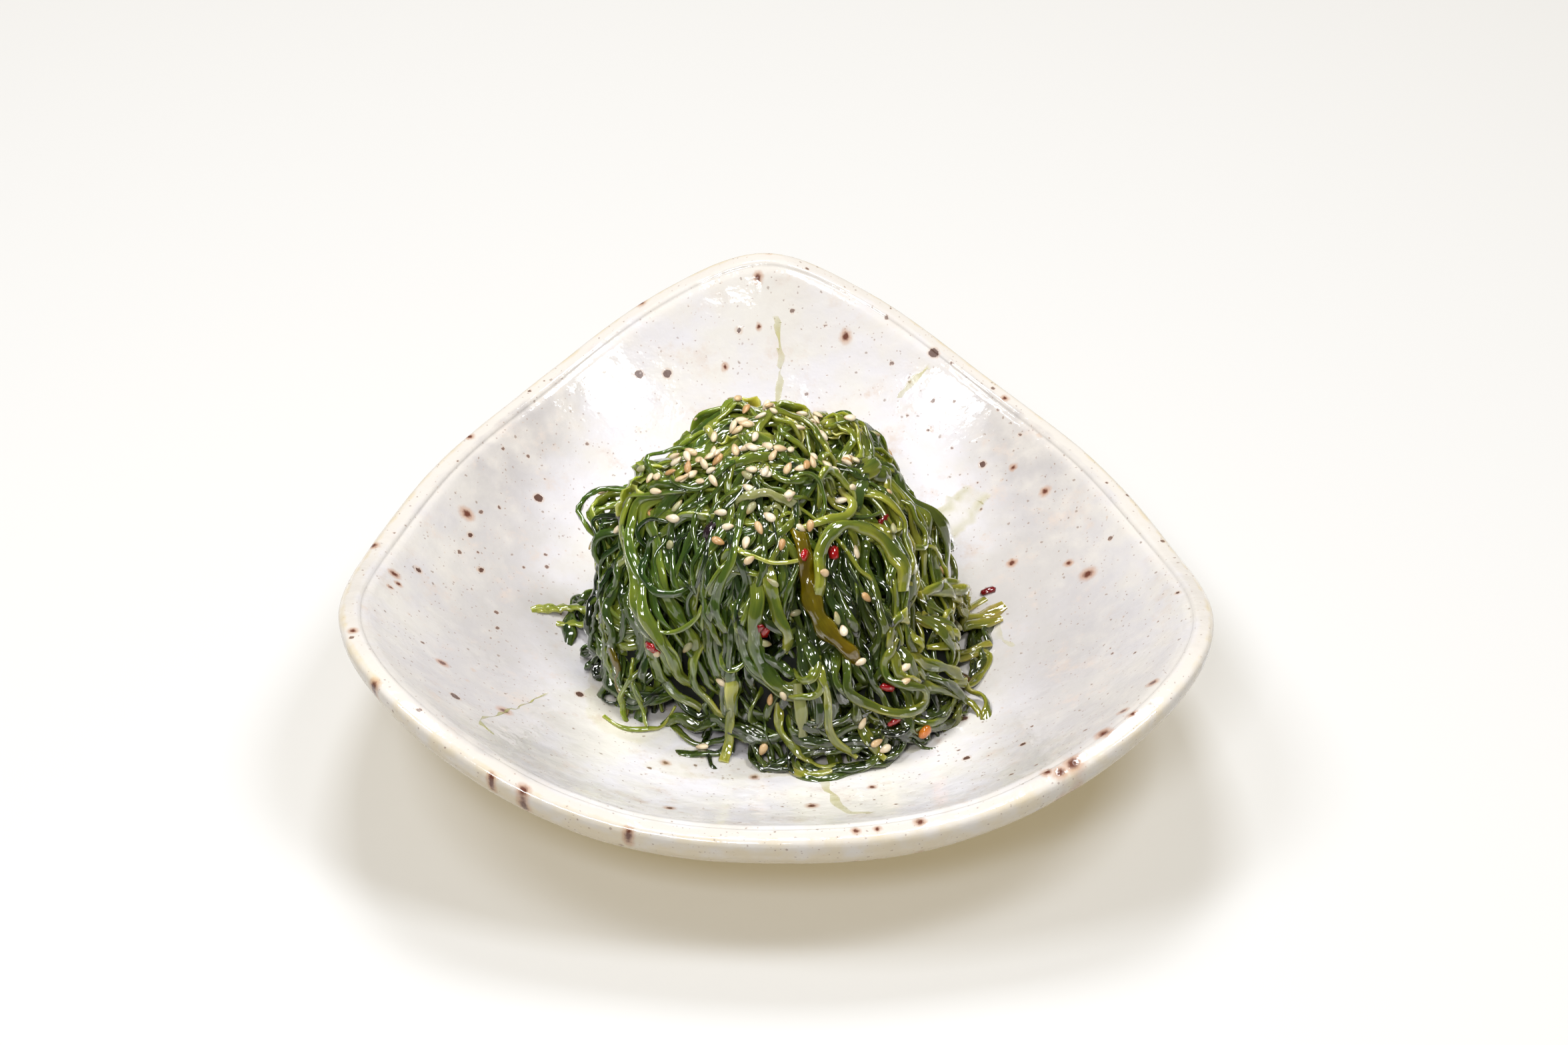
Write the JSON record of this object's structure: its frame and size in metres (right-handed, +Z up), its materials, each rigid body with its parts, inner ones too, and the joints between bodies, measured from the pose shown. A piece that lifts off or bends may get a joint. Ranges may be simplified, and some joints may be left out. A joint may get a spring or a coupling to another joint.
{
  "type": "bowl of seaweed salad",
  "caption": "Shallow three-cornered stoneware bowl with raised corners and a foot ring, holding a mound of dressed seaweed salad.",
  "frame": {"origin": "on the table, under the middle of the bowl's outline", "axes": "+Z up, +Y towards the bowl's rear corner, +X to the viewer's right"},
  "size_m": [0.2046, 0.2028, 0.0799],
  "materials": {
    "bowl": "pale speckled glaze over stoneware",
    "seaweed": "wet, oily food"
  },
  "bodies": {
    "root": {"bowl": "bowl", "seaweed": "seaweed"}
  },
  "joints": []
}
